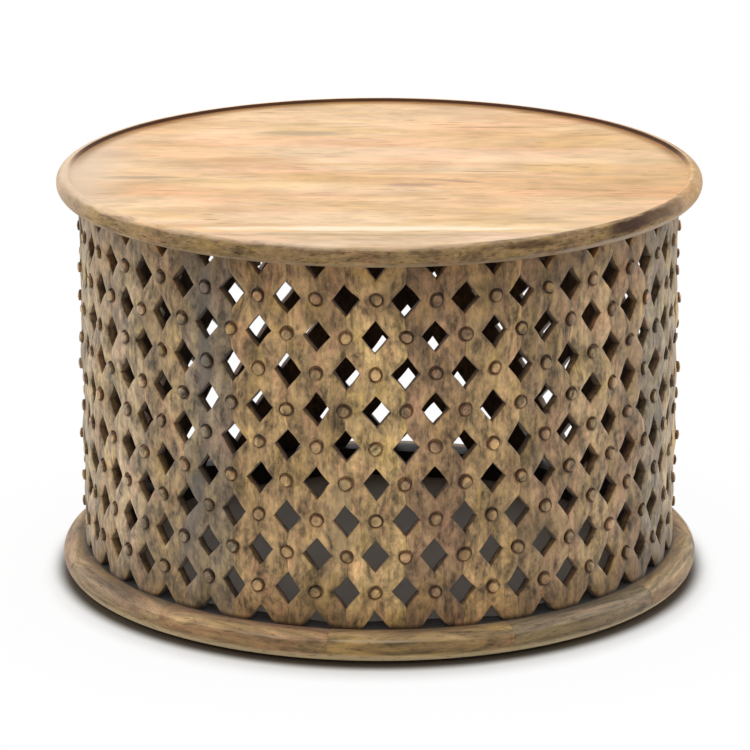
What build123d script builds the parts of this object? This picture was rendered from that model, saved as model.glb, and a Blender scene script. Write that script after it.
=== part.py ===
"""Carved African drum table: a round plank top on a pierced wooden drum and a rounded base ring.

Millimetres, +Z up. The origin is on the floor, on the axis of the drum. The front is at -Y,
and the planks of the top run left to right, along X. Angles are measured from the front,
anticlockwise seen from above.
"""

import math
import os

from build123d import *

# Overall
table_diameter = 700.0      # over the rounded edges of the top and of the base ring
overhang = 26.0             # from the rounded edges in to the flat faces of the drum

# Table top: planks glued edge to edge, then turned as one disc with a raised lip
top_thickness = 22.5        # at the lip
lip_height = 4.5            # from the plank surface up to the crest of the lip
lip_slope = 5.0             # run of the lip's inner side, from its crest in to the plank surface
plank_joints = (-266.0, -115.0, -9.0, 109.0, 230.0)  # y of the glue lines, front to back

# Drum: flat staves round a circle, each one column of diamonds wide
stave_count = 33
stave_thickness = 11.0
row_count = 10              # row 0 is under the top, the last row on the base ring
row_pitch = 39.3
hole_width = 29.0
hole_height = 35.5

# Studs between the diamonds
stud_diameter = 13.0        # across its corners
stud_height = 4.0
stud_sides = 6

# Base ring: segments glued end to end, round outside and sawn straight inside
ring_height = 30.0
ring_ledge = 5.0            # least width of the ring inside the drum wall
ring_segments = 11
ring_turn = 24.4            # angle of one of its joints from the front

# Glue blocks inside, under the top, each across a joint between two staves
staves_per_block = 3
block_width = 30.0
block_depth = 24.0          # from the middle of a stave's inner face
block_height = 18.0

# Felt pads under the base ring
pad_count = 6
pad_size = 25.0
pad_thickness = 2.0

edge_facets = 4             # flats that make up each rounded edge

# Worked out from the above
outer_radius = table_diameter / 2
drum_apothem = outer_radius - overhang
inner_apothem = drum_apothem - stave_thickness
stave_angle = 360 / stave_count
column_angle = stave_angle / 2
drum_height = row_count * row_pitch
ring_bottom = pad_thickness
drum_bottom = ring_bottom + ring_height
top_bottom = drum_bottom + drum_height
corner_radius = drum_apothem / math.cos(math.radians(column_angle))
ring_angle = 360 / ring_segments
inner_corner = inner_apothem - ring_ledge
ring_apothem = inner_corner * math.cos(math.radians(ring_angle / 2))


def turned(piece, angle):
    """The piece, moved round the drum's axis by an angle from the front."""
    return Rot(Z=angle) * piece


def rounded_edge(height):
    """Points up a half-round edge of this height, which reaches the outer radius half-way up."""
    radius = height / 2
    steps = [math.pi * i / edge_facets for i in range(edge_facets + 1)]
    return [
        (outer_radius - radius + radius * math.sin(a), radius - radius * math.cos(a))
        for a in steps
    ]


def table_top():
    """The whole turned top, before it is told apart into planks."""
    crest = outer_radius - top_thickness / 2
    panel = top_thickness - lip_height
    outline = [(0, 0), *rounded_edge(top_thickness), (crest - lip_slope, panel), (0, panel)]
    section = make_face(Polyline(*outline, close=True))
    return Pos(Z=top_bottom) * revolve(Plane.XZ * section, Axis.Z)


def planks():
    """The planks of the top, front to back. A joint that misses the disc makes no plank."""
    disc = table_top()
    reach = outer_radius - top_thickness
    edges = [-table_diameter, *(y for y in plank_joints if abs(y) < reach), table_diameter]
    pieces = []
    for front, back in zip(edges, edges[1:]):
        slab = Box(2 * table_diameter, back - front, 2 * table_diameter)
        pieces.append(disc & (Pos(Y=(front + back) / 2) * slab))
    return pieces


def on_drum(column, row):
    """Place on the drum face with its normal outwards. Columns are half a stave apart."""
    radius = drum_apothem if column % 2 == 0 else corner_radius
    place = Plane(
        origin=(0, -radius, top_bottom - row * row_pitch), x_dir=(1, 0, 0), z_dir=(0, -1, 0)
    )
    return Rot(Z=column * column_angle) * place.location


def diamond_cutter():
    """A prism that cuts one diamond hole right through the drum wall."""
    half_wide, half_high = hole_width / 2, hole_height / 2
    outline = Polyline(
        (-half_wide, 0), (0, -half_high), (half_wide, 0), (0, half_high), close=True
    )
    return extrude(make_face(outline), amount=2 * stave_thickness, both=True)


def stave():
    """The front stave. A hole is where the column and row add up to an even number."""
    half = math.radians(column_angle)
    outer, inner = drum_apothem * math.tan(half), inner_apothem * math.tan(half)
    section = Polyline(
        (-outer, -drum_apothem),
        (outer, -drum_apothem),
        (inner, -inner_apothem),
        (-inner, -inner_apothem),
        close=True,
    )
    board = Pos(Z=drum_bottom) * extrude(make_face(section), amount=drum_height)
    cutter = diamond_cutter()
    holes = [
        on_drum(column, row) * cutter
        for column in (-1, 0, 1)
        for row in range(row_count + 1)
        if (column + row) % 2 == 0
    ]
    return board - holes


def stud():
    """One low pointed stud on its base, seat at z = 0."""
    base = RegularPolygon(stud_diameter / 2, stud_sides)
    return loft([base.face(), Vertex(0, 0, stud_height)])


def studs(row):
    """The ring of studs in one row, half-way between its holes."""
    shape = stud()
    first = 1 - row % 2
    return [on_drum(first + 2 * i, row) * shape for i in range(stave_count)]


def ring_segment():
    """One segment of the base ring, centred on the front."""
    outline = [(0, 0), *rounded_edge(ring_height), (0, ring_height)]
    section = Plane.XZ * make_face(Polyline(*outline, close=True))
    sector = turned(revolve(section, Axis.Z, revolution_arc=ring_angle), -90 - ring_angle / 2)
    reach = 2 * outer_radius
    middle = Pos(Y=reach / 2 - ring_apothem) * Box(reach, reach, 3 * ring_height)
    return Pos(Z=ring_bottom) * (sector - middle)


def glue_block():
    """A block at the front, its back cut to fit two staves that meet there."""
    blank = Box(block_width, block_depth + stave_thickness, block_height)
    middle = (block_depth - stave_thickness) / 2 - inner_apothem
    inside = RegularPolygon(inner_apothem, stave_count, major_radius=False)
    # The polygon has a corner at +X, so a quarter turn back brings a joint to the front.
    hollow = turned(extrude(inside, amount=block_height, both=True), -90)
    return Pos(Z=top_bottom - block_height / 2) * (Pos(Y=middle) * blank & hollow)


def glue_blocks():
    """Blocks at joints an even number of staves apart."""
    block = glue_block()
    joints = range(0, stave_count - staves_per_block + 1, staves_per_block)
    return [turned(block, column_angle + joint * stave_angle) for joint in joints]


def felt_pad():
    """One pad, under the middle of the ring's width, at the front."""
    middle = (ring_apothem + outer_radius - ring_height / 2) / 2
    return Pos(0, -middle, pad_thickness / 2) * Box(pad_size, pad_size, pad_thickness)


def around(piece, count, start=0.0):
    """Copies of a piece at even angles round the drum."""
    return [turned(piece, start + i * 360 / count) for i in range(count)]


def write(node, solids):
    """One STEP file for one node."""
    shape = solids[0] if len(solids) == 1 else Compound(children=solids)
    export_step(shape, f"parts/{node}.step")


os.makedirs("parts", exist_ok=True)

for number, plank in enumerate(planks(), start=1):
    write(f"top_plank_{number}", [plank])

for number, piece in enumerate(around(stave(), stave_count), start=1):
    write(f"stave_{number:02d}", [piece])

for row in range(1, row_count):
    write(f"studs_row_{row}", studs(row))

write("base_ring", around(ring_segment(), ring_segments, ring_turn + ring_angle / 2))
write("glue_blocks", glue_blocks())
write("felt_pads", around(felt_pad(), pad_count))
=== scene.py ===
import bmesh
import bpy
import math
import random
from mathutils import Matrix, Vector


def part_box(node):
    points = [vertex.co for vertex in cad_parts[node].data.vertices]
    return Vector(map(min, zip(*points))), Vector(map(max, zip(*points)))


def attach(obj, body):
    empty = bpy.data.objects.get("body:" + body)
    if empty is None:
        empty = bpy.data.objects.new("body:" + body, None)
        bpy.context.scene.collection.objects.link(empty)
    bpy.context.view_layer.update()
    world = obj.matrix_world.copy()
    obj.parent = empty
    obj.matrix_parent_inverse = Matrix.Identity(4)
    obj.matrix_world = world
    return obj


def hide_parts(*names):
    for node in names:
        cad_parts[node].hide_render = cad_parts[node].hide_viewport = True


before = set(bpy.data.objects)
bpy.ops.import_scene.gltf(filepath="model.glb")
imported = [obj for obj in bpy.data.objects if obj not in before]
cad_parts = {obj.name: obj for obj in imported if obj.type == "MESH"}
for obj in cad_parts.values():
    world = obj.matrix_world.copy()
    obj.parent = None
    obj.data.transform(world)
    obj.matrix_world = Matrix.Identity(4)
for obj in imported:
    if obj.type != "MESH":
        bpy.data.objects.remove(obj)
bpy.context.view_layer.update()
print("frame loaded:", len(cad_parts), "nodes")

mm = 0.001
hair = 0.1 * mm             # heights closer than this are level
speck = 0.01 * mm           # points closer than this are one
sawSpeck = 0.001 * mm       # the same at a saw cut, where a bull-nose has fine steps
grainShifts = 20            # boards read the grain up to this many steps apart
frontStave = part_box("stave_01")
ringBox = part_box("base_ring")
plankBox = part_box("top_plank_3")


# helpers for modelling

def deselectAll():
    if bpy.context.object and bpy.context.object.mode != "OBJECT":
        bpy.ops.object.mode_set(mode="OBJECT")
    bpy.ops.object.select_all(action="DESELECT")


def selectOnly(piece):
    deselectAll()
    piece.select_set(True)
    bpy.context.view_layer.objects.active = piece


def pick(kind, wanted):
    # selects the vertices, edges or faces of the piece in edit mode that pass a test
    bpy.ops.mesh.select_mode(type=kind)
    bpy.ops.mesh.select_all(action="DESELECT")
    shape = bmesh.from_edit_mesh(bpy.context.object.data)
    parts = {"VERT": shape.verts, "EDGE": shape.edges, "FACE": shape.faces}[kind]
    for part in parts:
        if wanted(part):
            part.select_set(True)
    shape.select_flush_mode()
    bmesh.update_edit_mesh(bpy.context.object.data)


def applyModifier(piece, kind, **settings):
    selectOnly(piece)
    modifier = piece.modifiers.new(kind.lower(), kind)
    for name, value in settings.items():
        setattr(modifier, name, value)
    bpy.ops.object.modifier_apply(modifier=modifier.name)


def rise(edge):
    return abs(edge.verts[0].co.z - edge.verts[1].co.z)


def sawOff(place, direction):
    # takes away what lies beyond a plane, and closes the cut
    bpy.ops.mesh.select_all(action="SELECT")
    bpy.ops.mesh.bisect(
        plane_co=place, plane_no=direction, use_fill=True, clear_outer=True,
        threshold=sawSpeck)


def smooth(piece, degrees):
    selectOnly(piece)
    bpy.ops.object.shade_smooth_by_angle(angle=math.radians(degrees))


def copyOf(piece, name, place=Matrix()):
    # a copy with its own mesh, with the place baked into the mesh
    twin = bpy.data.objects.new(name, piece.data.copy())
    twin.data.name = name
    twin.data.transform(place)
    bpy.context.collection.objects.link(twin)
    return twin


def joined(pieces, name):
    deselectAll()
    for piece in pieces:
        piece.select_set(True)
    bpy.context.view_layer.objects.active = pieces[0]
    if len(pieces) > 1:
        bpy.ops.object.join()
    pieces[0].name = name
    pieces[0].data.name = name
    return pieces[0]


def discard(piece):
    bpy.data.objects.remove(piece)


def layBoard(piece, boardPlace):
    # where each point lies in its board: across the grain, below the surface, along the grain
    board = piece.data.attributes.new("board", "FLOAT_VECTOR", "POINT")
    places = [length for vertex in piece.data.vertices for length in boardPlace(vertex.co)]
    board.data.foreach_set("vector", places)


def mark(piece, tone, rng, amount):
    # gives a piece its own wood: lighter or darker by up to the amount, each channel by up to
    # a quarter of it, and cut from its own place in the grain
    scale = 1 + rng.uniform(-amount, amount)
    tone = [channel * scale * (1 + rng.uniform(-amount, amount) / 4) for channel in tone]
    shift = rng.uniform(0, grainShifts)
    count = len(piece.data.vertices)
    colours = piece.data.attributes.new("tone", "FLOAT_COLOR", "POINT")
    colours.data.foreach_set("color", [*tone, 1.0] * count)
    shifts = piece.data.attributes.new("shift", "FLOAT", "POINT")
    shifts.data.foreach_set("value", [shift] * count)
    return tone


def turnedBy(angle):
    return Matrix.Rotation(angle, 4, "Z")


# the drum: pierced staves, turned round outside

drum = {
    "staves": 33,
    "rows": 10,
    "radius": -frontStave[0].y + 1 * mm,    # the staves are turned round outside
    "thickness": 11 * mm,
    "bottom": frontStave[0].z,
    "top": frontStave[1].z,
    "holeWidth": 29 * mm,
    "holeHeight": 35.5 * mm,
    "crown": 0.2 * mm,          # drop from the middle of a band to half-way
    "pillow": 1.5 * mm,         # drop from the middle of a band to the rim of a hole
    "crownShare": 0.6,          # part of a band's half width that the crown takes
    "rimRound": 1.3 * mm,
    "pocketRadius": 8.0 * mm,   # sunk ring round each stud
    "pocketRise": 0.8 * mm,     # the ring is cut a little above its stud
    "pocketSlope": 1.0 * mm,
    "pocketDepth": 2.3 * mm,
    # how unevenly the carving is cut: size of the waves, and strength
    "unevenness": ((45 * mm, 4.4 * mm), (13 * mm, 1.3 * mm)),
    "trueEnds": 0.5,            # rows over which the carving settles at the top and the ring
    "toneSpread": 0.06,
    "creaseAngle": 38,
    "seed": 33,
}
drum["staveAngle"] = 2 * math.pi / drum["staves"]
drum["halfWidth"] = drum["radius"] * drum["staveAngle"] / 2
drum["pitch"] = (drum["top"] - drum["bottom"]) / drum["rows"]
drum["studReach"] = (drum["rows"] - 1) / 2 * drum["pitch"]  # no studs beyond it, up or down

woodTones = {
    "gold": (0.54, 0.36, 0.165),
    "honey": (0.44, 0.29, 0.135),
    "tan": (0.37, 0.255, 0.13),
    "umber": (0.31, 0.205, 0.105),
    "russet": (0.325, 0.205, 0.105),
    "grey": (0.28, 0.21, 0.13),
    "straw": (0.38, 0.28, 0.16),
}
# the front stave first, then the others towards the right, and towards the left
tonesRight = ("gold", "russet", "honey", "umber", "tan", "umber", "grey", "straw")
tonesLeft = ("honey", "honey", "grey", "tan", "straw", "tan", "straw")


def flatStave():
    half, pitch = drum["halfWidth"], drum["pitch"]
    deselectAll()
    # a grid of diamonds standing in the XZ plane: a hole in each face, a stud on each corner
    cells = 6
    bpy.ops.mesh.primitive_grid_add(
        x_subdivisions=cells, y_subdivisions=cells,
        size=cells * half * math.sqrt(2), rotation=(math.pi / 2, math.pi / 4, 0))
    stave = bpy.context.object
    bpy.ops.object.transform_apply(rotation=True)
    bpy.ops.object.mode_set(mode="EDIT")
    bpy.ops.mesh.select_all(action="SELECT")
    bpy.ops.transform.resize(value=(1, 1, pitch / half))

    # bands between the holes, crowned along their middles
    band = half * pitch / math.hypot(half, pitch) * (1 - drum["holeHeight"] / (2 * pitch))
    crownWidth = band * drum["crownShare"]
    bpy.ops.mesh.inset(thickness=crownWidth, depth=-drum["crown"], use_individual=True)
    bpy.ops.mesh.inset(
        thickness=band - crownWidth, depth=drum["crown"] - drum["pillow"], use_individual=True)
    shape = bmesh.from_edit_mesh(stave.data)
    for face in [face for face in shape.faces if face.select]:
        centre = face.calc_center_median()
        reach = max(corner.co.x - centre.x for corner in face.verts)
        for corner in face.verts:
            corner.co.x = centre.x + (corner.co.x - centre.x) * drum["holeWidth"] / 2 / reach
    bmesh.update_edit_mesh(stave.data)
    bpy.ops.mesh.delete(type="FACE")

    # round pockets that the studs stand in, none under the top or on the ring;
    # the corners of the grid are where eight edges meet
    def isStudPlace(corner):
        return (len(corner.link_edges) == 8 and abs(corner.co.y) < speck
                and abs(corner.co.x) < 1.5 * half and abs(corner.co.z) < drum["studReach"])

    pick("VERT", isStudPlace)
    bpy.ops.mesh.bevel(offset=drum["pocketRadius"], segments=2, affect="VERTICES")
    bpy.ops.mesh.dissolve_faces()
    shape = bmesh.from_edit_mesh(stave.data)
    for face in [face for face in shape.faces if face.select]:
        centre = face.calc_center_median()
        for corner in face.verts:
            away = corner.co - centre
            corner.co = centre + away * drum["pocketRadius"] / away.length
            corner.co.z += drum["pocketRise"]
    bmesh.update_edit_mesh(stave.data)
    bpy.ops.mesh.inset(
        thickness=drum["pocketSlope"], depth=-drum["pocketDepth"], use_individual=True)
    bpy.ops.mesh.poke()

    # cut to one stave, then given its thickness with a flat back
    def isOutside(face):
        centre = face.calc_center_median()
        return abs(centre.x) > half or abs(centre.z) > drum["rows"] / 2 * pitch

    pick("FACE", isOutside)
    bpy.ops.mesh.delete(type="FACE")
    bpy.ops.mesh.select_all(action="SELECT")
    bpy.ops.mesh.extrude_region_move(
        TRANSFORM_OT_translate={"value": (0, drum["thickness"], 0)})
    bpy.ops.transform.resize(value=(1, 0, 1), center_override=(0, drum["thickness"], 0))
    bpy.ops.mesh.select_all(action="SELECT")
    bpy.ops.mesh.remove_doubles(threshold=speck)
    bpy.ops.mesh.normals_make_consistent(inside=False)

    # eased rims
    endRow = drum["rows"] // 2

    def isOnRim(edge):
        for row in range(-endRow, endRow + 1):
            for column in (-1, 0, 1):
                if (row + column) % 2 == 0:
                    continue
                # on the outline of a hole the two shares make 1
                shares = [
                    abs(end.co.x - column * half) / (drum["holeWidth"] / 2)
                    + abs(end.co.z - row * pitch) / (drum["holeHeight"] / 2)
                    for end in edge.verts]
                if all(abs(share - 1) < 0.01 for share in shares):
                    return all(abs(end.co.y - drum["pillow"]) < speck for end in edge.verts)
        return False

    pick("EDGE", isOnRim)
    bpy.ops.mesh.bevel(offset=drum["rimRound"], segments=3, affect="EDGES")
    bpy.ops.object.mode_set(mode="OBJECT")
    return stave


def carvingTexture(size):
    texture = bpy.data.textures.new("carving", "CLOUDS")
    texture.cloud_type = "COLOR"
    texture.noise_scale = size
    texture.noise_depth = 0
    return texture


carvings = [(carvingTexture(size), strength) for size, strength in drum["unevenness"]]


def carveUnevenly(piece):
    # moves each part of the carving a little off its true place, and its studs with it
    piece.vertex_groups.new(name="free")
    for vertex in piece.data.vertices:
        ends = min(vertex.co.z - drum["bottom"], drum["top"] - vertex.co.z)
        weight = min(max(ends / (drum["trueEnds"] * drum["pitch"]), 0), 1)
        piece.vertex_groups["free"].add([vertex.index], weight, "REPLACE")
    for texture, strength in carvings:
        applyModifier(
            piece, "DISPLACE", texture=texture, texture_coords="GLOBAL",
            direction="RGB_TO_XYZ", mid_level=0.5, strength=strength, vertex_group="free")
    piece.vertex_groups.clear()


def toneOfStave(number, rng):
    if number < len(tonesRight):
        return woodTones[tonesRight[number]]
    if drum["staves"] - number <= len(tonesLeft):
        return woodTones[tonesLeft[drum["staves"] - number - 1]]
    return woodTones[rng.choice(sorted(woodTones))]


def makeStaves():
    rng = random.Random(drum["seed"])
    pattern = flatStave()
    layBoard(pattern, lambda place: place)
    applyModifier(
        pattern, "SUBSURF", subdivision_type="SIMPLE", levels=2, render_levels=2)
    applyModifier(
        pattern, "SIMPLE_DEFORM", deform_method="BEND", deform_axis="Z",
        angle=drum["staveAngle"])
    middle = (drum["top"] + drum["bottom"]) / 2
    pattern.data.transform(Matrix.Translation((0, -drum["radius"], middle)))
    tones = []
    for number in range(drum["staves"]):
        place = turnedBy(number * drum["staveAngle"])
        stave = copyOf(pattern, f"piercedStave{number + 1}", place)
        carveUnevenly(stave)
        smooth(stave, drum["creaseAngle"])
        tones.append(mark(stave, toneOfStave(number, rng), rng, drum["toneSpread"]))
        stave.data.materials.append(materials["drumWood"])
        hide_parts(f"stave_{number + 1:02d}")
        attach(stave, "root")
    discard(pattern)
    print("staves carved:", len(tones))
    return tones


# studs between the holes

stud = {
    "radius": 5.8 * mm,
    "proud": 3.0 * mm,          # above the wood round it
    "sunk": 2.8 * mm,           # how deep it stands in its pocket
    "sides": 12,
    "edgeRound": 1.0 * mm,
    "capInset": 2.2 * mm,
    "dome": 0.9 * mm,
    "domeStep": 0.7,            # part of the dome that is in its slope, the rest in its point
    "lighter": 1.03,            # caps worn a little lighter than the staves
    # how much the studs differ, either way
    "sizeSpread": 0.05,
    "shiftSpread": 0.6 * mm,
    "leanSpread": 0.05,         # radians
    "spin": 1.0,                # radians, at most
    "toneSpread": 0.12,
    "creaseAngle": 50,
    "seed": 297,
}


def studPattern():
    # a turned button lying on the front of the drum, facing -Y
    deselectAll()
    length = stud["proud"] + stud["sunk"]
    middle = (stud["sunk"] - stud["proud"]) / 2
    bpy.ops.mesh.primitive_cylinder_add(
        vertices=stud["sides"], radius=stud["radius"], depth=length,
        location=(0, middle, 0), rotation=(math.pi / 2, 0, 0))
    button = bpy.context.object
    bpy.ops.object.transform_apply(location=True, rotation=True)
    bpy.ops.object.mode_set(mode="EDIT")
    pick("EDGE", lambda edge: all(end.co.y < -stud["proud"] + hair for end in edge.verts))
    bpy.ops.mesh.bevel(offset=stud["edgeRound"], segments=2, affect="EDGES")
    pick("FACE", lambda face: face.normal.y < -0.99)
    slope = stud["dome"] * stud["domeStep"]
    bpy.ops.mesh.inset(thickness=stud["capInset"], depth=slope)
    bpy.ops.mesh.poke(offset=stud["dome"] - slope)
    bpy.ops.object.mode_set(mode="OBJECT")
    layBoard(button, lambda place: (place.x, place.y + stud["proud"], place.z))
    return button


def makeStuds(staveTones):
    rng = random.Random(stud["seed"])
    pattern = studPattern()
    for row in range(1, drum["rows"]):
        height = drum["top"] - row * drum["pitch"]
        buttons = []
        for number in range(drum["staves"]):
            column = 2 * number + 1 - row % 2   # in half staves
            sized = 1 + rng.uniform(-1, 1) * stud["sizeSpread"]
            across = rng.uniform(-1, 1) * stud["shiftSpread"]
            up = rng.uniform(-1, 1) * stud["shiftSpread"]
            lean = Matrix.Rotation(rng.uniform(-stud["leanSpread"], stud["leanSpread"]), 4, "X")
            spin = Matrix.Rotation(rng.uniform(0, stud["spin"]), 4, "Y")
            place = (
                turnedBy(column * drum["staveAngle"] / 2)
                @ Matrix.Translation((across, -drum["radius"], height + up))
                @ lean @ spin @ Matrix.Diagonal((sized, 1, sized, 1)))
            button = copyOf(pattern, "button", place)
            local = staveTones[(column + rng.choice((0, 1))) // 2 % drum["staves"]]
            worn = [channel * stud["lighter"] for channel in local]
            mark(button, worn, rng, stud["toneSpread"])
            buttons.append(button)
        studRow = joined(buttons, f"studRow{row}")
        carveUnevenly(studRow)
        smooth(studRow, stud["creaseAngle"])
        studRow.data.materials.append(materials["studWood"])
        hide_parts(f"studs_row_{row}")
        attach(studRow, "root")
    discard(pattern)
    print("studs set:", (drum["rows"] - 1) * drum["staves"])


# a disc whose edge is a bull-nose, for the top and for the base ring

nose = {
    "segments": 9,
    "gap": 0.04 * mm,           # left between its upper and lower half
    "flatMargin": 2 * mm,       # strip round a flat face that keeps its shading level
}


def bullNosedDisc(sizes):
    deselectAll()
    bpy.ops.mesh.primitive_cylinder_add(
        vertices=sizes["sides"], radius=sizes["radius"], depth=sizes["height"],
        location=(0, 0, sizes["bottom"] + sizes["height"] / 2))
    disc = bpy.context.object
    bpy.ops.object.transform_apply(location=True)
    bpy.ops.object.mode_set(mode="EDIT")
    pick("EDGE", lambda edge: rise(edge) < hair)
    bpy.ops.mesh.bevel(
        offset=(sizes["height"] - nose["gap"]) / 2, segments=nose["segments"], affect="EDGES")
    return disc


# table top: planks turned as one disc

top = {
    "radius": plankBox[1].x - 0.05 * mm,    # just inside the solid, as the ring's is
    "bottom": plankBox[0].z,
    "height": plankBox[1].z - plankBox[0].z,
    "sides": 288,
    # lip, from its crest inwards: run and drop of each step, in millimetres
    "lip": ((1.5, 0.35), (1.4, 1.25), (1.1, 1.6), (0.8, 0.9), (0.9, 0.4), (3.0, 0.0)),
    "toneSpread": 0.02,
    "creaseAngle": 30,
    "seed": 6,
}
# from the front plank to the back one
plankTones = ("rose", "cream", "honeyed", "cream", "honeyed", "honeyed")
topTones = {
    "cream": (0.88, 0.62, 0.385),
    "honeyed": (0.85, 0.58, 0.345),
    "rose": (0.80, 0.61, 0.43),
}


def turnedDisc():
    disc = bullNosedDisc(top)
    pick("FACE", lambda face: face.normal.z < 0 and len(face.verts) == top["sides"])
    bpy.ops.mesh.inset(thickness=nose["flatMargin"])
    # raised lip: stepped down inside its crest
    pick("FACE", lambda face: face.normal.z > 0 and len(face.verts) == top["sides"])
    for run, drop in top["lip"]:
        bpy.ops.mesh.inset(thickness=run * mm, depth=-drop * mm)
    bpy.ops.object.mode_set(mode="OBJECT")
    layBoard(disc, lambda place: (place.y, place.z, place.x))
    return disc


def makePlanks():
    rng = random.Random(top["seed"])
    disc = turnedDisc()
    names = sorted(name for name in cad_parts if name.startswith("top_plank"))
    for number, node in enumerate(names):
        front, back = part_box(node)[0].y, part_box(node)[1].y
        plank = copyOf(disc, f"topPlank{number + 1}")
        selectOnly(plank)
        bpy.ops.object.mode_set(mode="EDIT")
        for edge, side in ((front, -1), (back, 1)):
            if abs(edge) < top["radius"] - top["height"]:
                sawOff((0, edge, 0), (0, side, 0))
        bpy.ops.object.mode_set(mode="OBJECT")
        smooth(plank, top["creaseAngle"])
        mark(plank, topTones[plankTones[number]], rng, top["toneSpread"])
        plank.data.materials.append(materials["topWood"])
        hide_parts(node)
        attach(plank, "root")
    discard(disc)
    print("planks turned:", len(names))


# base ring

ring = {
    "radius": ringBox[1].x - 0.1 * mm,
    "bottom": ringBox[0].z,
    "height": ringBox[1].z - ringBox[0].z,
    "apothem": 295.5 * mm,      # from the axis to the straight inner edges
    "segments": 11,
    "turn": math.radians(24.4), # one of its joints, from the front
    "sides": 264,
    "ease": 0.3 * mm,           # along the joints
    "sharp": 50,                # degrees, from which an edge is eased
    "toneSpread": 0.03,
    "creaseAngle": 30,
    "seed": 11,
}
# the first segment is to the right of the front, the last in front
ringTones = (
    "grey", "tan", "honey", "tan", "grey", "tan", "honey", "tan", "tan", "honey", "honey")


def ringSegment():
    segment = bullNosedDisc(ring)
    pick("FACE", lambda face: len(face.verts) == ring["sides"])
    bpy.ops.mesh.inset(thickness=nose["flatMargin"])
    # sawn inside and at both ends
    sawOff((0, -ring["apothem"], 0), (0, 1, 0))
    half = math.pi / ring["segments"]
    for side in (-1, 1):
        sawOff((0, 0, 0), (side * math.cos(half), math.sin(half), 0))
    bpy.ops.object.mode_set(mode="OBJECT")
    applyModifier(
        segment, "BEVEL", width=ring["ease"], segments=1, limit_method="ANGLE",
        angle_limit=math.radians(ring["sharp"]))
    layBoard(segment, lambda place: (place.z, -place.y, place.x))
    return segment


def makeRing():
    rng = random.Random(ring["seed"])
    pattern = ringSegment()
    step = 2 * math.pi / ring["segments"]
    segments = []
    for number in range(ring["segments"]):
        turn = ring["turn"] + (number + 0.5) * step
        segment = copyOf(pattern, "segment", turnedBy(turn))
        mark(segment, woodTones[ringTones[number]], rng, ring["toneSpread"])
        segments.append(segment)
    whole = joined(segments, "baseRing")
    smooth(whole, ring["creaseAngle"])
    whole.data.materials.append(materials["ringWood"])
    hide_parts("base_ring")
    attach(whole, "root")
    discard(pattern)
    print("ring joined:", len(segments), "segments")


# felt pads

pad = {
    "count": 6,
    "size": 25 * mm,
    "thickness": 2 * mm,
    "cornerRound": 4 * mm,
    "soleRound": 0.5 * mm,
    "creaseAngle": 40,
}


def makePads():
    middle = (ring["apothem"] + ring["radius"] - ring["height"] / 2) / 2
    deselectAll()
    bpy.ops.mesh.primitive_cube_add(size=1, location=(0, -middle, pad["thickness"] / 2))
    pattern = bpy.context.object
    pattern.scale = (pad["size"], pad["size"], pad["thickness"])
    bpy.ops.object.transform_apply(location=True, scale=True)
    bpy.ops.object.mode_set(mode="EDIT")
    pick("EDGE", lambda edge: rise(edge) > hair)
    bpy.ops.mesh.bevel(offset=pad["cornerRound"], segments=5, affect="EDGES")
    pick("EDGE", lambda edge: all(end.co.z < hair for end in edge.verts))
    bpy.ops.mesh.bevel(offset=pad["soleRound"], segments=2, affect="EDGES")
    bpy.ops.object.mode_set(mode="OBJECT")
    step = 2 * math.pi / pad["count"]
    pads = [copyOf(pattern, "pad", turnedBy(number * step)) for number in range(pad["count"])]
    whole = joined(pads, "feltPads")
    smooth(whole, pad["creaseAngle"])
    whole.data.materials.append(materials["felt"])
    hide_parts("felt_pads")
    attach(whole, "root")
    discard(pattern)
    print("pads stuck on:", len(pads))


# helpers for materials

def setInputs(tree, node, inputs):
    for name, value in inputs.items():
        if isinstance(value, bpy.types.NodeSocket):
            tree.links.new(value, node.inputs[name])
        else:
            node.inputs[name].default_value = value


def put(tree, kind, inputs=None, **settings):
    node = tree.nodes.new("ShaderNode" + kind)
    for name, value in settings.items():
        setattr(node, name, value)
    setInputs(tree, node, inputs or {})
    return node


def useGroup(tree, group, inputs):
    return put(tree, "Group", inputs, node_tree=group).outputs


def calc(tree, operation, *values, clamp=False):
    inputs = dict(enumerate(values))
    return put(tree, "Math", inputs, operation=operation, use_clamp=clamp).outputs[0]


def product(tree, value, *factors):
    for factor in factors:
        value = calc(tree, "MULTIPLY", value, factor)
    return value


def weighted(tree, value, *parts):
    # the value plus each part times its weight
    for part, weight in parts:
        value = calc(tree, "MULTIPLY_ADD", part, weight, value)
    return value


def squareSum(tree, first, second):
    return calc(tree, "MULTIPLY_ADD", first, first, calc(tree, "MULTIPLY", second, second))


def raggedly(tree, value, pattern, amount):
    # moves the value up and down with the pattern, by half the amount at most
    return weighted(tree, value, (calc(tree, "SUBTRACT", pattern, 0.5), amount))


def vectorCalc(tree, operation, *values):
    return put(tree, "VectorMath", dict(enumerate(values)), operation=operation).outputs[0]


def stretched(tree, place, amount):
    # the smaller the amount, the longer a pattern is drawn out along the grain
    return vectorCalc(tree, "MULTIPLY", place, (1.0, 1.0, amount))


def axesOf(tree, place):
    return put(tree, "SeparateXYZ", {0: place}).outputs


def blendColours(tree, factor, first, second, kind="MIX"):
    inputs = {0: factor, 6: first, 7: second}
    return put(tree, "Mix", inputs, data_type="RGBA", blend_type=kind).outputs[2]


def darken(tree, amount, colour, tint):
    tinted = blendColours(tree, 1.0, colour, (*tint, 1), "MULTIPLY")
    return blendColours(tree, amount, colour, tinted)


def spread(tree, value, low, high, newLow=0.0, newHigh=1.0):
    inputs = {"Value": value, 1: low, 2: high, 3: newLow, 4: newHigh}
    return put(tree, "MapRange", inputs, interpolation_type="SMOOTHSTEP").outputs[0]


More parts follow.
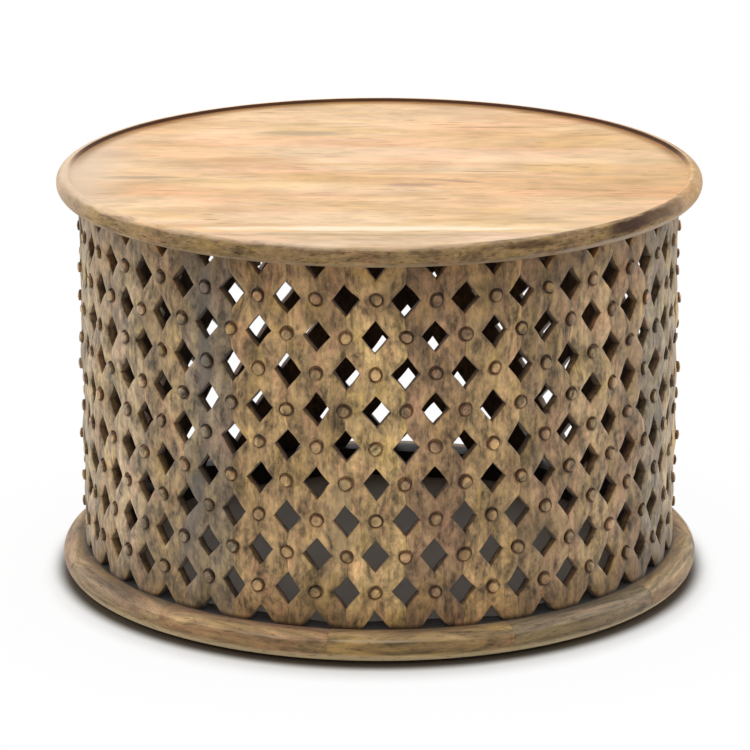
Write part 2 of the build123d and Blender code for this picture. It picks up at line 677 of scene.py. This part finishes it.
def noise(tree, place, scale, detail=2.0, roughness=0.5):
    inputs = {"Vector": place, "Scale": scale, "Detail": detail, "Roughness": roughness}
    return put(tree, "TexNoise", inputs).outputs[0]


# sockets of the groups that don't carry a plain value
socketKinds = {
    "Board": "NodeSocketVector", "Tone": "NodeSocketColor", "Colour": "NodeSocketColor"}


def newGroup(name, inputs, outputs):
    group = bpy.data.node_groups.new(name, "ShaderNodeTree")
    for direction, sockets in (("INPUT", inputs), ("OUTPUT", outputs)):
        for socket in sockets:
            kind = socketKinds.get(socket, "NodeSocketFloat")
            group.interface.new_socket(socket, in_out=direction, socket_type=kind)
    start = group.nodes.new("NodeGroupInput")
    end = group.nodes.new("NodeGroupOutput")
    return group, start.outputs, end


def newMaterial(name):
    material = bpy.data.materials.new(name)
    material.use_nodes = True
    tree = material.node_tree
    tree.nodes.clear()
    shader = put(tree, "BsdfPrincipled")
    output = put(tree, "OutputMaterial")
    tree.links.new(shader.outputs[0], output.inputs[0])
    return material, tree, shader


# wood effects that the materials share

grainLayers = {
    # stretch along the grain, then scale, detail and roughness of the noise, then its range
    "patches": (0.5, 66.0, 3.0, 0.6, 0.32, 0.68),
    "flecks": (0.6, 170.0, 3.0, 0.65, 0.34, 0.66),
    "streaks": (0.10, 190.0, 4.0, 0.6, 0.30, 0.70),
    "fibres": (0.06, 620.0, 2.0, 0.6, 0.28, 0.72),
    "pores": (0.10, 800.0, 1.0, 0.5, 0.62, 0.72),
}
grainMix = {
    "shiftStep": (3.1, 5.7, 1.9),   # metres
    "wander": 0.024,                # metres that the grain wanders sideways
    "wanderStretch": 0.4,
    "wanderScale": 22.0,
    "yearStretch": 0.16,            # year rings
    "yearScale": 13.0,
    "yearCount": 110.0,
    # what each layer adds
    "body": {"patches": 1.0, "flecks": 0.75},
    "fine": {"streaks": 0.30, "fibres": 0.14},
    "height": {"streaks": 0.4, "fibres": 0.3, "pores": -0.5},
    "roughness": {"streaks": -0.10, "pores": 0.15},
    "plainRoughness": 0.62,
    # patches that lean to rose, straw and grey: tint, and where it sets in
    "hueStretch": 0.45,
    "hueShift": (7.0, 3.0, 1.0),
    "hue": (44.0, 2.0, 0.6),
    "rose": ((1.07, 0.95, 1.02, 1), (0.53, 0.62)),
    "straw": ((1.02, 1.02, 0.82, 1), (0.47, 0.38)),
    "grey": ((0.93, 0.97, 1.06, 1), (-0.05, -0.3)),
    "poreTint": (0.50, 0.43, 0.38),
}


def woodGrainGroup():
    # Board is in metres: X across the grain, Y into the wood, Z along the grain
    tree, given, end = newGroup(
        "woodGrain",
        ("Board", "Shift", "Tone", "Contrast", "Mottle", "Fibre", "Figure", "Colouring",
         "Greying"),
        ("Colour", "Height", "Roughness"))
    mix = grainMix
    offset = put(tree, "VectorMath", {0: mix["shiftStep"], "Scale": given["Shift"]},
                 operation="SCALE").outputs[0]
    place = vectorCalc(tree, "ADD", given["Board"], offset)

    # the grain wanders sideways
    slow = stretched(tree, place, mix["wanderStretch"])
    bend = put(tree, "TexNoise", {
        "Vector": slow, "Scale": mix["wanderScale"], "Detail": 2.0}).outputs[1]
    bend = vectorCalc(tree, "SUBTRACT", bend, (0.5,) * 3)
    bend = vectorCalc(tree, "MULTIPLY", bend, (mix["wander"],) * 3)
    warped = vectorCalc(tree, "ADD", place, bend)

    layers = {}
    for name, (stretch, scale, detail, roughness, low, high) in grainLayers.items():
        pattern = noise(tree, stretched(tree, warped, stretch), scale, detail, roughness)
        layers[name] = spread(tree, pattern, low, high)
    # year rings cut lengthwise: contour lines of a slow field
    field = noise(tree, stretched(tree, warped, mix["yearStretch"]), mix["yearScale"], 1.0)
    lines = product(tree, calc(tree, "SINE", product(tree, field, mix["yearCount"])), 0.5)

    def layered(name, start):
        parts = [(layers[layer], weight) for layer, weight in mix[name].items()]
        return weighted(tree, start, *parts)

    # both lighten as much as they darken
    body, fine = [layered(name, -sum(mix[name].values()) / 2) for name in ("body", "fine")]
    body = product(tree, body, given["Mottle"])
    body = weighted(tree, body, (fine, given["Fibre"]), (lines, given["Figure"]))
    value = weighted(tree, 1.0, (body, given["Contrast"]))
    plain = blendColours(tree, 1.0, given["Tone"], value, "MULTIPLY")

    place = vectorCalc(tree, "ADD", stretched(tree, warped, mix["hueStretch"]), mix["hueShift"])
    hue = noise(tree, place, *mix["hue"])
    colour = plain
    for (tint, edge), guide, strength in (
            (mix["rose"], hue, "Colouring"), (mix["straw"], hue, "Colouring"),
            (mix["grey"], body, "Greying")):
        amount = product(tree, spread(tree, guide, *edge), given[strength])
        leaning = blendColours(tree, 1.0, plain, tint, "MULTIPLY")
        colour = blendColours(tree, amount, colour, leaning)
    seen = product(tree, layers["pores"], given["Fibre"], 0.5)
    setInputs(tree, end, {
        "Colour": darken(tree, seen, colour, mix["poreTint"]),
        "Height": layered("height", 0.0),
        "Roughness": layered("roughness", mix["plainRoughness"])})
    return tree


def blotchGroup():
    # one soft-edged stain, streak, knot or painted highlight
    tree, given, end = newGroup(
        "blotch",
        ("Across", "Along", "Centre Across", "Centre Along", "Width", "Length", "Lean",
         "Ragged", "Noise"),
        ("Mask",))
    along = calc(tree, "SUBTRACT", given["Along"], given["Centre Along"])
    across = calc(tree, "SUBTRACT", given["Across"], given["Centre Across"])
    across = calc(tree, "SUBTRACT", across, product(tree, along, given["Lean"]))
    across = calc(tree, "DIVIDE", across, given["Width"])
    along = calc(tree, "DIVIDE", along, given["Length"])
    distance = calc(tree, "SQRT", squareSum(tree, across, along))
    distance = raggedly(tree, distance, given["Noise"], given["Ragged"])
    setInputs(tree, end, {"Mask": spread(tree, distance, 1.0, 0.3)})
    return tree


rimWear = {
    "stretch": 0.07,                # draws the wear out round the rim
    "patches": (150.0, 4.0, 0.62),  # scale, detail and roughness of the noise
    "nicks": (430.0, 2.0, 0.6),
}


def rimWearGroup():
    # wear on a turned rim: ragged patches and fine nicks
    tree, given, end = newGroup("rimWear", ("Angle", "Away", "Height"), ("Patches", "Nicks"))
    place = put(tree, "CombineXYZ", {
        0: product(tree, given["Angle"], rimWear["stretch"]), 1: given["Away"],
        2: given["Height"]}).outputs[0]
    setInputs(tree, end, {
        "Patches": noise(tree, place, *rimWear["patches"]),
        "Nicks": noise(tree, place, *rimWear["nicks"])})
    return tree


woodGrain = woodGrainGroup()
blotch = blotchGroup()
wearOnRims = rimWearGroup()


def readWood(tree):
    tone = put(tree, "Attribute", attribute_name="tone").outputs["Color"]
    shift = put(tree, "Attribute", attribute_name="shift").outputs["Fac"]
    board = put(tree, "Attribute", attribute_name="board").outputs["Vector"]
    return tone, shift, board


def readPlace(tree):
    return put(tree, "TexCoord").outputs["Object"]


def angleFromFront(tree, axes):
    return calc(tree, "ARCTAN2", axes[0], product(tree, axes[1], -1.0))


def distanceFromAxis(tree, axes):
    return calc(tree, "SQRT", squareSum(tree, axes[0], axes[1]))


def readTurned(tree):
    # axes, angle from the front, distance from the axis, and the wear of a turned rim
    axes = axesOf(tree, readPlace(tree))
    angle = angleFromFront(tree, axes)
    away = distanceFromAxis(tree, axes)
    wear = useGroup(tree, wearOnRims, {"Angle": angle, "Away": away, "Height": axes[2]})
    return axes, angle, away, wear


def addDirtAndPaintedLight(tree, colour, guide, tinting, where=1.0):
    # follows the guide, such as a height or a noise, and tints the wood or covers it
    # it lays real dirt and wear, and painted shade and painted light
    amount = product(
        tree, spread(tree, guide, *tinting["edge"]), tinting.get("strength", 1.0), where)
    if "tint" in tinting:
        return darken(tree, amount, colour, tinting["tint"])
    return blendColours(tree, amount, colour, (*tinting["cover"], 1))


def finishWood(tree, shader, grain, colour, finish):
    bump = put(tree, "Bump", {
        "Strength": finish["bump"], "Distance": 0.5 * mm, "Height": grain["Height"]})
    setInputs(tree, shader, {
        "Base Color": colour, "Roughness": grain["Roughness"], "Normal": bump.outputs[0],
        "Specular IOR Level": 0.3, **finish["shine"]})


# old stains in the wood and painted highlights, and the noise that frays the stains: its scale,
# detail and roughness

stainEdges = (90.0, 3.0, 0.6)
spotTones = {
    "ash": (0.150, 0.130, 0.112),
    "brown": (0.36, 0.205, 0.10),
    "plum": (0.45, 0.28, 0.20),
    "dun": (0.47, 0.345, 0.21),
    "rust": (0.62, 0.34, 0.16),
    "soot": (0.045, 0.013, 0.001),
    # the tone of the painted highlight lines on the ring
    "pale": (0.50, 0.40, 0.28),
    "cream": (1.0, 0.86, 0.63),
    "amber": (0.50, 0.36, 0.185),
    "bark": (0.20, 0.13, 0.065),
    # tone of a painted highlight under the rim
    "paintedUnderHighlight": (0.42, 0.32, 0.245),
}


def markSpot(tone, across, along, width, length, strength, lean=0.0, ragged=1.3):
    return {"tone": (*spotTones[tone], 1), "strength": strength, "shape": {
        "Centre Across": across, "Centre Along": along, "Width": width, "Length": length,
        "Lean": lean, "Ragged": ragged}}


def addSpots(tree, colour, spots, across, along, edgeNoise):
    for spot in spots:
        mask = useGroup(tree, blotch, {
            "Across": across, "Along": along, "Noise": edgeNoise, **spot["shape"]})["Mask"]
        mask = product(tree, mask, spot["strength"])
        colour = blendColours(tree, mask, colour, spot["tone"])
    return colour


# places that the finishes start from
foot, head, wall = drum["bottom"], drum["top"], drum["radius"]
rim, crest = top["radius"], top["bottom"] + top["height"]

drumFinish = {
    "grain": {"Contrast": 1.05, "Mottle": 0.76, "Fibre": 1.0, "Figure": 0.16,
              "Colouring": 0.8, "Greying": 0.3},
    "bump": 0.6,
    "shine": {"Sheen Weight": 0.28, "Sheen Roughness": 0.4},
    # broad lighter and darker areas: scale, detail and roughness of the noise, then what
    # range of it is spread to which brightness
    "cloudStretch": 0.6,
    "clouds": (17.0, 2.0, 0.55),
    "cloudRange": (0.34, 0.66, 0.80, 1.20),
    # painted shade and dark old finish in a ring round each stud and on its sides: its tint,
    # and how much is left of it where it is most worn, then where it starts and ends, from the
    # stud's middle
    "drumWood": ((0.56, 0.46, 0.37), 0.35),
    "studWood": ((0.30, 0.22, 0.155), 0.65),
    "recessStart": (4.3 * mm, 5.7 * mm),
    "recessEnd": (9.6 * mm, 7.0 * mm),
    "recessRagged": 4 * mm,
    "wornScale": 48.0,
    "wornEdge": (0.38, 0.58),
    # painted shade on the walls of the holes and over the whole inside, below the surface
    "sunkWallShade": {"edge": (1.7 * mm, 3.1 * mm), "tint": (0.52, 0.45, 0.39)},
    "inside": {"edge": (5 * mm, 10.5 * mm), "tint": (0.38, 0.34, 0.31)},
    # glue lines, from the middle of a stave
    "seam": {"edge": (drum["halfWidth"] - 0.7 * mm, drum["halfWidth"] - 0.2 * mm),
             "strength": 0.8, "tint": (0.40, 0.33, 0.28)},
    "seamBroken": (0.35, 0.6),
    # darker down towards the ring, painted shade under the rim, and a painted shadow in the
    # corner on the ring
    "darkeningRagged": 30 * mm,
    "low": {"edge": (foot + 75 * mm, foot + 20 * mm), "tint": (0.68, 0.63, 0.56)},
    "high": {"edge": (head - 100 * mm, head + 10 * mm), "tint": (0.72, 0.68, 0.64)},
    "corner": {"edge": (foot + 6 * mm, foot + 0.5 * mm), "tint": (0.26, 0.20, 0.15)},
}
drumStains = (
    # metres round the drum from the front, and up from the floor
    markSpot("ash", -0.187, 0.330, 0.013, 0.13, 0.75, lean=0.03),
    markSpot("ash", -0.206, 0.140, 0.014, 0.13, 0.65, lean=0.24),
    markSpot("amber", -0.038, 0.150, 0.018, 0.060, 0.6),
    markSpot("bark", 0.010, 0.395, 0.034, 0.045, 0.2),
    markSpot("bark", 0.124, 0.385, 0.030, 0.050, 0.45),
    markSpot("bark", 0.185, 0.130, 0.030, 0.070, 0.25),
)


def studDistance(tree, across, along):
    # how far each point of a stave is from the middle of the nearest stud
    half, pitch = drum["halfWidth"], drum["pitch"]
    squares = []
    for step in (0, 1):     # the rows on the middle of the staves, then the rows on their joints
        aside = calc(tree, "WRAP", calc(tree, "SUBTRACT", across, step * half), half, -half)
        above = calc(tree, "WRAP", calc(tree, "SUBTRACT", along, step * pitch), pitch, -pitch)
        squares.append(squareSum(tree, aside, above))
    return calc(tree, "SQRT", calc(tree, "MINIMUM", *squares))


def drumMaterial(name):
    material, tree, shader = newMaterial(name)
    finish = drumFinish
    ringShadeTint, leastKept = finish[name]
    tone, shift, board = readWood(tree)
    across, sunk, along = axesOf(tree, board)
    axes = axesOf(tree, readPlace(tree))
    arc = product(tree, angleFromFront(tree, axes), drum["radius"])
    place = put(tree, "CombineXYZ", {
        0: arc, 2: product(tree, axes[2], finish["cloudStretch"])}).outputs[0]
    clouds = spread(tree, noise(tree, place, *finish["clouds"]), *finish["cloudRange"])
    tone = blendColours(tree, 1.0, tone, clouds, "MULTIPLY")
    grain = useGroup(tree, woodGrain, {
        "Board": board, "Shift": shift, "Tone": tone, **finish["grain"]})
    edgeNoise = noise(tree, board, *stainEdges)
    colour = addSpots(tree, grain["Colour"], drumStains, arc, axes[2], edgeNoise)

    away = studDistance(tree, across, along)
    away = raggedly(tree, away, edgeNoise, finish["recessRagged"])
    worn = noise(tree, place, finish["wornScale"], 1.0)
    hasStud = calc(tree, "LESS_THAN", calc(tree, "ABSOLUTE", along), drum["studReach"])
    paintedRingShade = product(
        tree, spread(tree, away, *finish["recessStart"]), spread(tree, away, *finish["recessEnd"]),
        spread(tree, worn, *finish["wornEdge"], leastKept, 1.0), hasStud)
    # painted shade and dark old finish in the ring round each stud
    colour = darken(tree, paintedRingShade, colour, ringShadeTint)
    # painted shade in the holes and over the inside of the drum
    colour = addDirtAndPaintedLight(tree, colour, sunk, finish["sunkWallShade"])
    colour = addDirtAndPaintedLight(tree, colour, sunk, finish["inside"])
    broken = spread(tree, edgeNoise, *finish["seamBroken"])
    colour = addDirtAndPaintedLight(tree, colour, calc(tree, "ABSOLUTE", across), finish["seam"], broken)
    level = weighted(tree, axes[2], (edgeNoise, finish["darkeningRagged"]))
    colour = addDirtAndPaintedLight(tree, colour, level, finish["low"])
    # painted shade under the rim
    colour = addDirtAndPaintedLight(tree, colour, level, finish["high"])
    # painted shadow in the corner where the drum meets the ring
    colour = addDirtAndPaintedLight(tree, colour, axes[2], finish["corner"])
    finishWood(tree, shader, grain, colour, finish)
    return material


topFinish = {
    "grain": {"Contrast": 0.28, "Mottle": 0.70, "Fibre": 0.9, "Figure": 0.34,
              "Colouring": 0.5, "Greying": 0.0},
    "grainStretch": (0.30, 1.0, 0.25),
    "bump": 0.25,
    "shine": {"Specular IOR Level": 0.18},
    # broad orange areas
    "areaStretch": 0.25,
    "areas": (15.0, 2.0, 0.5),
    "orange": {"edge": (0.42, 0.62), "tint": (0.93, 0.85, 0.75)},
    # metres towards the right
    "right": {"edge": (0.06, 0.30), "tint": (0.90, 0.87, 0.80)},
    "left": {"edge": (-0.25, -0.33), "strength": 0.8, "cover": (0.74, 0.57, 0.42)},
    # painted shade on the inner side of the lip and beside it, most of all at the back
    "behind": (1.5, 1.9),       # radians from the front
    "lipInside": (rim - 11.4 * mm, rim - 12.4 * mm),
    "lipWallShade": {"edge": (crest - 4.1 * mm, crest - 2.4 * mm), "tint": (0.15, 0.09, 0.05)},
    "lipShade": {"edge": (rim - 31 * mm, rim - 14 * mm), "tint": (0.52, 0.40, 0.27)},
}
noseFinish = {
    "grain": {"Shift": 2.0, "Tone": (0.292, 0.187, 0.084, 1), "Contrast": 1.1, "Mottle": 0.5,
              "Fibre": 1.0, "Figure": 0.2, "Colouring": 0.8, "Greying": 0.3},
    "ragged": 7.0 * mm,
    "outside": (rim - 12 * mm, rim - 9 * mm),
    # the brown is painted paler towards the sides, standing in for the side light there
    "facing": (1.45, 0.9, 0.45, 1.0),       # radians from the front, and how brown there
    "higher": (0.05, 0.40, 0.0, 3.0 * mm),  # the brown reaches up on the right
    "brown": (crest + 0.2 * mm, crest - 5.2 * mm),
    "nicks": {"edge": (0.56, 0.68), "strength": 0.8, "tint": (0.34, 0.27, 0.20)},
    # painted bounce light from the floor: a lighter band along the underside of the rim
    "under": {"edge": (top["bottom"] + 6 * mm, top["bottom"] + 2 * mm), "strength": 0.6,
              "cover": (0.33, 0.25, 0.17)},
}
topStains = (
    # metres across the planks and along them, from the middle of the table
    markSpot("brown", -0.003, 0.126, 0.0035, 0.055, 0.6),
    markSpot("plum", -0.046, 0.083, 0.006, 0.050, 0.8, lean=-0.25),
    markSpot("plum", -0.064, 0.040, 0.010, 0.045, 0.65),
    markSpot("brown", -0.076, 0.276, 0.002, 0.020, 0.6, ragged=0.8),
    markSpot("brown", -0.216, -0.172, 0.003, 0.014, 0.75, ragged=0.8),
    markSpot("dun", 0.175, -0.089, 0.016, 0.085, 0.7),
    markSpot("rust", 0.050, -0.156, 0.016, 0.090, 0.6),
    markSpot("dun", -0.034, -0.260, 0.010, 0.060, 0.75),
    markSpot("plum", 0.071, -0.288, 0.018, 0.030, 0.4),
    markSpot("brown", 0.209, 0.131, 0.006, 0.085, 0.5),
    markSpot("brown", 0.294, -0.104, 0.004, 0.030, 0.6, ragged=0.8),
    markSpot("rust", 0.248, -0.214, 0.014, 0.045, 0.45),
    markSpot("rust", 0.030, 0.020, 0.005, 0.130, 0.35),
    markSpot("cream", -0.252, 0.0, 0.014, 0.240, 0.9),
    markSpot("dun", -0.278, -0.02, 0.008, 0.200, 0.5),
)
noseStainsAndHighlight = (
    # angle from the front, and metres up from the floor
    # a painted highlight along the underside of the rim on the right
    markSpot("paintedUnderHighlight", 0.90, 0.4285, 0.50, 0.0060, 0.9, ragged=1.5),
    markSpot("soot", 0.845, 0.4415, 0.13, 0.0115, 1.0, ragged=0.7),
    markSpot("soot", 1.00, 0.4425, 0.27, 0.0095, 0.85, ragged=0.9),
    markSpot("soot", 0.47, 0.4420, 0.11, 0.0055, 0.65, ragged=1.4),
)


def topMaterial():
    material, tree, shader = newMaterial("topWood")
    finish = topFinish
    tone, shift, board = readWood(tree)
    axes, angle, away, wear = readTurned(tree)
    fromFront = calc(tree, "ABSOLUTE", angle)
    longBoard = stretched(tree, board, finish["areaStretch"])
    tone = addDirtAndPaintedLight(tree, tone, noise(tree, longBoard, *finish["areas"]), finish["orange"])
    tone = addDirtAndPaintedLight(tree, tone, axes[0], finish["right"])
    wideGrain = vectorCalc(tree, "MULTIPLY", board, finish["grainStretch"])
    grain = useGroup(tree, woodGrain, {
        "Board": wideGrain, "Shift": shift, "Tone": tone, **finish["grain"]})
    edgeNoise = noise(tree, longBoard, *stainEdges)
    colour = addSpots(tree, grain["Colour"], topStains, axes[1], axes[0], edgeNoise)
    colour = addDirtAndPaintedLight(tree, colour, axes[0], finish["left"])
    # painted shade on the inner side of the lip and on the tray beside it, at the back
    inside = product(tree, spread(tree, away, *finish["lipInside"]),
                     spread(tree, fromFront, *finish["behind"]))
    colour = addDirtAndPaintedLight(tree, colour, axes[2], finish["lipWallShade"], inside)
    colour = addDirtAndPaintedLight(tree, colour, away, finish["lipShade"], inside)

    # below the crest the light top gives way to the brown finish of the drum
    lower = noseFinish
    line = raggedly(tree, axes[2], wear["Patches"], lower["ragged"])
    # the brown is painted paler towards the sides, standing in for the side light there
    facing = product(
        tree, spread(tree, fromFront, *lower["facing"]), spread(tree, away, *lower["outside"]))
    brown = calc(tree, "SUBTRACT", line, spread(tree, angle, *lower["higher"]))
    brown = product(tree, spread(tree, brown, *lower["brown"]), facing)
    rimBoard = put(tree, "CombineXYZ", {
        0: axes[2], 1: away, 2: product(tree, angle, top["radius"])}).outputs[0]
    stained = useGroup(tree, woodGrain, {"Board": rimBoard, **lower["grain"]})["Colour"]
    stained = addDirtAndPaintedLight(tree, stained, wear["Nicks"], lower["nicks"])
    stained = addSpots(tree, stained, noseStainsAndHighlight, angle, axes[2], wear["Patches"])
    # painted bounce light from the floor along the underside of the rim
    stained = addDirtAndPaintedLight(tree, stained, line, lower["under"])
    colour = blendColours(tree, brown, colour, stained)
    finishWood(tree, shader, grain, colour, finish)
    return material


ringFinish = {
    "grain": {"Contrast": 1.0, "Mottle": 0.5, "Fibre": 1.2, "Figure": 0.25,
              "Colouring": 0.9, "Greying": 0.3},
    "bump": 0.5,
    "shine": {"Sheen Weight": 0.15},
    "grainStretch": 0.3,
    "ragged": 4.0 * mm,
    # brown band along the middle of the nose, and below it a painted lighter band for bounce
    # light from the floor; heights are up from the floor
    "band": {"edge": (26 * mm, 24 * mm), "tint": (0.72, 0.67, 0.60)},
    "bandFoot": (10 * mm, 14 * mm),
    "low": {"edge": (13 * mm, 7 * mm), "strength": 0.85, "cover": (0.62, 0.49, 0.28)},
    "dashes": {"edge": (0.58, 0.70), "strength": 0.7, "tint": (0.40, 0.33, 0.26)},
    # painted shade where the drum stands, and nearly black painted shade under it, from the axis
    "foot": {"edge": (wall + 18 * mm, wall + 1 * mm), "tint": (0.55, 0.48, 0.42)},
    "inside": {"edge": (wall + 2.5 * mm, wall - 1 * mm), "tint": (0.05, 0.04, 0.03)},
}
# painted highlight lines along the nose of the ring, brightest at the front
ringHighlights = (
    # angle from the front, and metres up from the floor
    markSpot("pale", 0.0, 0.0266, 0.20, 0.0011, 0.75, ragged=0.8),
    markSpot("pale", -0.33, 0.0258, 0.16, 0.0016, 0.4),
)


def ringMaterial():
    material, tree, shader = newMaterial("ringWood")
    finish = ringFinish
    tone, shift, board = readWood(tree)
    axes, angle, away, wear = readTurned(tree)
    grain = useGroup(tree, woodGrain, {
        "Board": stretched(tree, board, finish["grainStretch"]), "Shift": shift, "Tone": tone,
        **finish["grain"]})
    line = raggedly(tree, axes[2], wear["Patches"], finish["ragged"])
    colour = addDirtAndPaintedLight(tree, grain["Colour"], line, finish["band"],
                     spread(tree, line, *finish["bandFoot"]))
    # painted bounce light from the floor on the lower nose
    colour = addDirtAndPaintedLight(tree, colour, line, finish["low"])
    colour = addDirtAndPaintedLight(tree, colour, wear["Nicks"], finish["dashes"])
    # painted highlight lines along the nose
    colour = addSpots(tree, colour, ringHighlights, angle, axes[2], wear["Patches"])
    # painted shade where the drum stands on the ring, and under it
    colour = addDirtAndPaintedLight(tree, colour, away, finish["foot"])
    colour = addDirtAndPaintedLight(tree, colour, away, finish["inside"])
    finishWood(tree, shader, grain, colour, finish)
    return material


blockFinish = {
    "grain": {"Shift": 4.0, "Tone": (0.30, 0.21, 0.12, 1), "Contrast": 1.0, "Mottle": 0.5,
              "Fibre": 1.0, "Figure": 0.1, "Colouring": 0.6, "Greying": 0.3},
    "bump": 0.4,
    "shine": {},
}


def blockMaterial():
    material, tree, shader = newMaterial("blockWood")
    grain = useGroup(tree, woodGrain, {"Board": readPlace(tree), **blockFinish["grain"]})
    finishWood(tree, shader, grain, grain["Colour"], blockFinish)
    return material


def feltMaterial():
    material, tree, shader = newMaterial("felt")
    fuzz = noise(tree, readPlace(tree), 1800.0, 4.0, 0.7)
    flecks = spread(tree, fuzz, 0.35, 0.65)
    colour = blendColours(tree, flecks, (0.035, 0.030, 0.027, 1), (0.085, 0.075, 0.066, 1))
    bump = put(tree, "Bump", {"Strength": 0.8, "Distance": 0.3 * mm, "Height": fuzz})
    setInputs(tree, shader, {
        "Base Color": colour, "Roughness": 0.95, "Sheen Weight": 0.3,
        "Normal": bump.outputs[0]})
    return material


materials = {
    "drumWood": drumMaterial("drumWood"),
    "studWood": drumMaterial("studWood"),
    "topWood": topMaterial(),
    "ringWood": ringMaterial(),
    "blockWood": blockMaterial(),
    "felt": feltMaterial(),
}
print("materials mixed:", len(materials))

staveTones = makeStaves()
makeStuds(staveTones)
makePlanks()
makeRing()
makePads()
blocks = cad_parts["glue_blocks"]
blocks.data.materials.clear()
blocks.data.materials.append(materials["blockWood"])


# floor, light and camera

studio = {
    "floorSize": 40.0,
    "floorColour": (0.93, 0.93, 0.925, 1),
    "floorShine": {"Roughness": 0.9, "Specular IOR Level": 0.1},
    # lengths are metres from the axis: a painted contact shadow close round the ring, seen
    # directly, and painted shade on the floor inside the drum
    "contactShadowColour": (0.09, 0.075, 0.06, 1),
    "contactShadowEdge": (0.368, 0.347),
    "insideShadeColour": (0.58, 0.56, 0.53, 1),
    "insideShadeEdge": (0.325, 0.300),
    "glowStart": 0.341,         # from this far out the floor turns white to the camera
    "glowWidth": 0.034,
    "glowForward": 0.012,       # it starts this much further out in front
    "glowSoft": 1.6,            # and widens there by this many times as much
    "glowFaint": 0.94,          # how white it is close by
    "glowFull": (0.40, 0.60),
    "skyLow": 0.10,             # light from the horizon, and from high up
    "skyHigh": 0.95,
    "skyEdge": 0.8,             # how high the second one starts, where 1 is straight above
    "aim": (0, 0, 0.25),        # where the lamps point
}
lamps = {
    # place, size, watts
    "overhead": ((-0.2, 0.1, 2.6), 2.4, 12.0),
    "left": ((-2.6, 0.7, 1.0), 1.6, 21.5),
    "right": ((2.6, 0.7, 1.0), 1.6, 17.0),
}


def seenDirectly(tree):
    rays = put(tree, "LightPath").outputs
    return calc(tree, "MAXIMUM", rays["Is Camera Ray"], rays["Is Glossy Ray"])


def makeFloor():
    deselectAll()
    bpy.ops.mesh.primitive_plane_add(size=studio["floorSize"])
    floor = bpy.context.object
    floor.name = "floor"
    material, tree, shader = newMaterial("paleFloor")
    axes = axesOf(tree, readPlace(tree))
    away = distanceFromAxis(tree, axes)
    seen = seenDirectly(tree)
    # a painted contact shadow close round the ring, seen directly
    contactShadow = product(tree, spread(tree, away, *studio["contactShadowEdge"]), seen)
    colour = blendColours(tree, contactShadow, studio["floorColour"], studio["contactShadowColour"])
    # painted shade on the floor inside the drum
    inside = spread(tree, away, *studio["insideShadeEdge"])
    colour = blendColours(tree, inside, colour, studio["insideShadeColour"])
    setInputs(tree, shader, {"Base Color": colour, **studio["floorShine"]})

    forward = calc(tree, "COSINE", angleFromFront(tree, axes), clamp=True)
    forward = product(tree, forward, studio["glowForward"])
    reach = calc(tree, "SUBTRACT", calc(tree, "SUBTRACT", away, forward), studio["glowStart"])
    width = weighted(tree, studio["glowWidth"], (forward, studio["glowSoft"]))
    glow = spread(tree, calc(tree, "DIVIDE", reach, width), 0.0, 1.0)
    white = spread(tree, away, *studio["glowFull"], studio["glowFaint"], 1.0)
    bright = put(tree, "Emission", {"Color": (1, 1, 1, 1), "Strength": 1.0})
    mixed = put(tree, "MixShader", {
        0: product(tree, glow, white, seen), 1: shader.outputs[0], 2: bright.outputs[0]})
    setInputs(tree, tree.nodes["Material Output"], {"Surface": mixed.outputs[0]})
    floor.data.materials.append(material)


def makeWorld():
    world = bpy.data.worlds.new("studio")
    bpy.context.scene.world = world
    world.use_nodes = True
    tree = world.node_tree
    tree.nodes.clear()
    height = axesOf(tree, put(tree, "TexCoord").outputs["Generated"])[2]
    sky = spread(tree, height, 0.0, studio["skyEdge"], studio["skyLow"], studio["skyHigh"])
    strength = put(
        tree, "MapRange", {"Value": seenDirectly(tree), 3: sky, 4: 1.0}).outputs[0]
    light = put(tree, "Background", {"Color": (1, 1, 1, 1), "Strength": strength})
    output = put(tree, "OutputWorld")
    tree.links.new(light.outputs[0], output.inputs[0])


def makeLamps():
    for name, (place, size, watts) in lamps.items():
        lamp = bpy.data.lights.new(name, "AREA")
        lamp.shape = "SQUARE"
        lamp.size = size
        lamp.energy = watts
        holder = bpy.data.objects.new(name, lamp)
        holder.location = place
        aim = Vector(studio["aim"]) - Vector(place)
        holder.rotation_euler = aim.to_track_quat("-Z", "Y").to_euler()
        bpy.context.collection.objects.link(holder)


camera = {
    "distance": 4.502,
    "height": 1.536,
    "azimuth": 0.0111,          # radians, towards the right
    "tilt": 0.28602,            # radians, downwards
    "lens": 204.88,
    "sensor": 36.0,
    "shift": -0.0058,
}


def makeCamera():
    data = bpy.data.cameras.new("camera")
    data.lens = camera["lens"]
    data.sensor_width = camera["sensor"]
    data.shift_x = camera["shift"]
    holder = bpy.data.objects.new("camera", data)
    turn = camera["azimuth"]
    holder.location = (
        camera["distance"] * math.sin(turn), -camera["distance"] * math.cos(turn),
        camera["height"])
    holder.rotation_euler = (math.pi / 2 - camera["tilt"], 0, turn)
    bpy.context.collection.objects.link(holder)
    bpy.context.scene.camera = holder


makeFloor()
makeWorld()
makeLamps()
makeCamera()
bpy.context.scene.view_settings.view_transform = "Standard"
print("studio lit")
